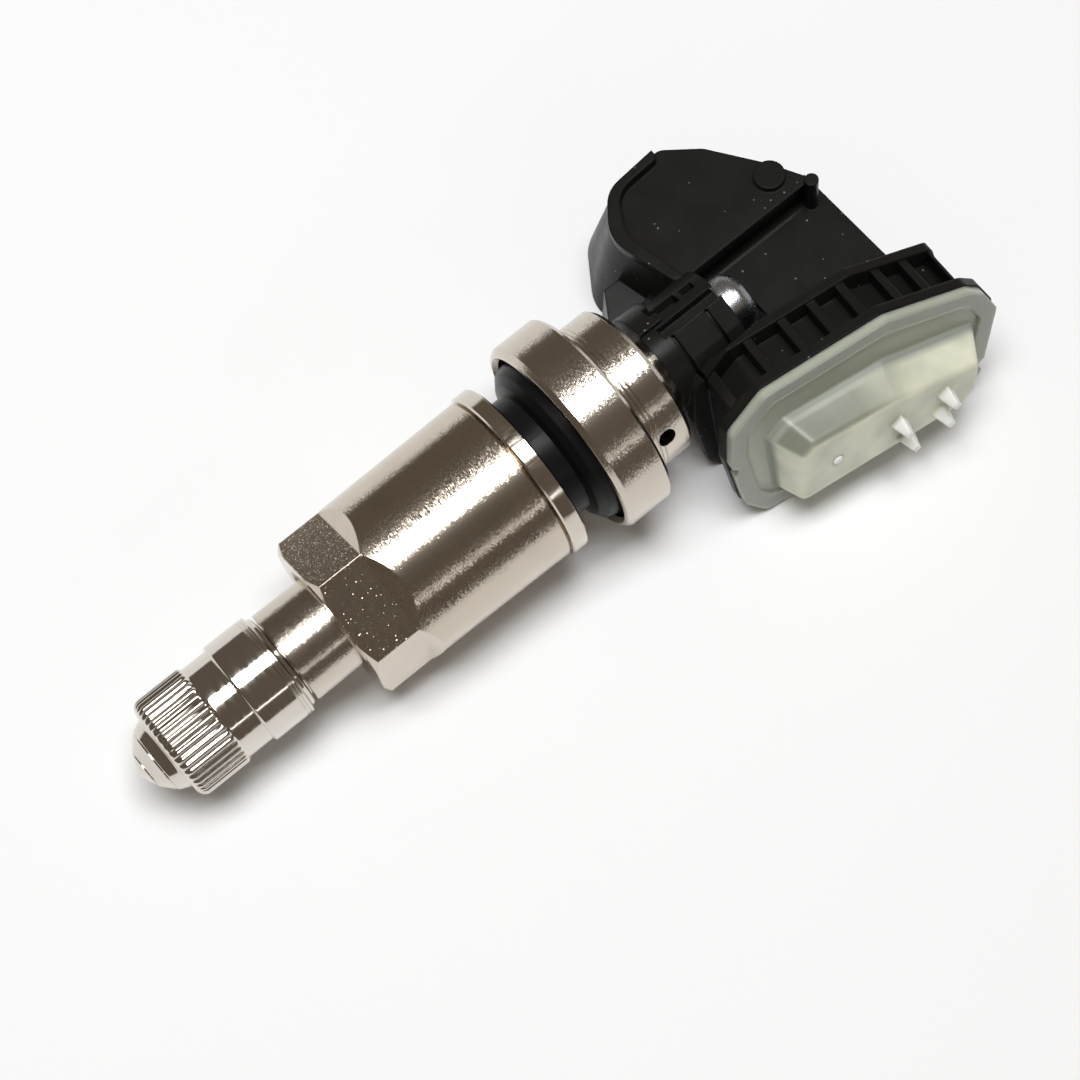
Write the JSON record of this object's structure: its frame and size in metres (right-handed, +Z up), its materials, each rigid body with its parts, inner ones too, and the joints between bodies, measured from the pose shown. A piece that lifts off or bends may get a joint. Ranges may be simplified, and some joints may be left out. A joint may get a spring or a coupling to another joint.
{
  "type": "tyre pressure sensor with clamp-in valve",
  "caption": "Tyre pressure sensor: black ribbed housing with potted electronics on a nickel-plated clamp-in valve with hex sleeve nut, rubber rim grommet and knurled cap.",
  "frame": {"origin": "on the valve axis at the outer face of the rim grommet, where the washer bears", "axes": "+X along the valve axis from the cap to the sensor housing, +Z up as the part lies on a table"},
  "size_m": [0.0785, 0.0351, 0.0191],
  "materials": {
    "bright_nickel": "polished nickel plating",
    "satin_nickel": "satin nickel plating",
    "brushed_nickel": "brushed nickel plating",
    "black_rubber": "matte",
    "seal_polymer": "smooth",
    "brass": "turned",
    "spring_steel": "drawn wire",
    "zinc_steel": "bright zinc plating",
    "black_plastic": "satin moulded",
    "milky_potting": "milky translucent",
    "board_green": "solder mask",
    "cell_steel": "stainless can",
    "tab_nickel": "nickel strip",
    "chip_black": "moulded",
    "crystal_can": "lid",
    "capacitor_tan": "ceramic body",
    "ferrite": "ferrite",
    "copper_wire": "enamelled copper"
  },
  "bodies": {
    "sensor": {"valve_stem": "satin_nickel", "core_barrel": "brass", "core_gasket": "seal_polymer", "core_spring": "spring_steel", "rim_grommet": "black_rubber", "stem_screw": "zinc_steel", "sensor_housing": "black_plastic", "potting_cover": "milky_potting", "circuit_board": "board_green", "coin_cell": "cell_steel", "battery_tab_negative": "tab_nickel", "battery_tab_positive": "tab_nickel", "pressure_chip": "chip_black", "rf_crystal": "crystal_can", "chip_capacitor_a": "capacitor_tan", "chip_capacitor_b": "capacitor_tan", "coil_core": "ferrite", "coil_winding": "copper_wire", "antenna_strip": "tab_nickel"},
    "washer": {"nut_washer": "satin_nickel"},
    "nut": {"clamp_nut": "brushed_nickel"},
    "gasket": {"cap_gasket": "black_rubber"},
    "cap": {"valve_cap": "bright_nickel"},
    "pin": {"core_pin": "brass", "core_seal": "black_rubber"}
  },
  "joints": [
    {"name": "washer_slide", "type": "slide", "parent": "sensor", "child": "washer", "axis": [-1, 0, 0], "range_m": [0, 0.0045]},
    {"name": "nut_turn", "type": "hinge", "parent": "washer", "child": "nut", "pos_m": [0, 0, 0], "axis": [-1, 0, 0], "range_deg": [0, 2161]},
    {"name": "gasket_slide", "type": "slide", "parent": "sensor", "child": "gasket", "axis": [-1, 0, 0], "range_m": [0, 0.006]},
    {"name": "cap_turn", "type": "hinge", "parent": "gasket", "child": "cap", "pos_m": [-0.036, 0, 0], "axis": [-1, 0, 0], "range_deg": [0, 2723]},
    {"name": "pin_press", "type": "slide", "parent": "sensor", "child": "pin", "axis": [1, 0, 0], "range_m": [0, 0.0012], "stiffness_N_per_m": 800, "springref_m": -0.002, "deforming": ["core_spring"]}
  ],
  "couplings": [
    {"joint": "nut_turn", "follows": "washer_slide", "rad_per_m": 8377.6},
    {"joint": "cap_turn", "follows": "gasket_slide", "rad_per_m": 7915.8}
  ]
}
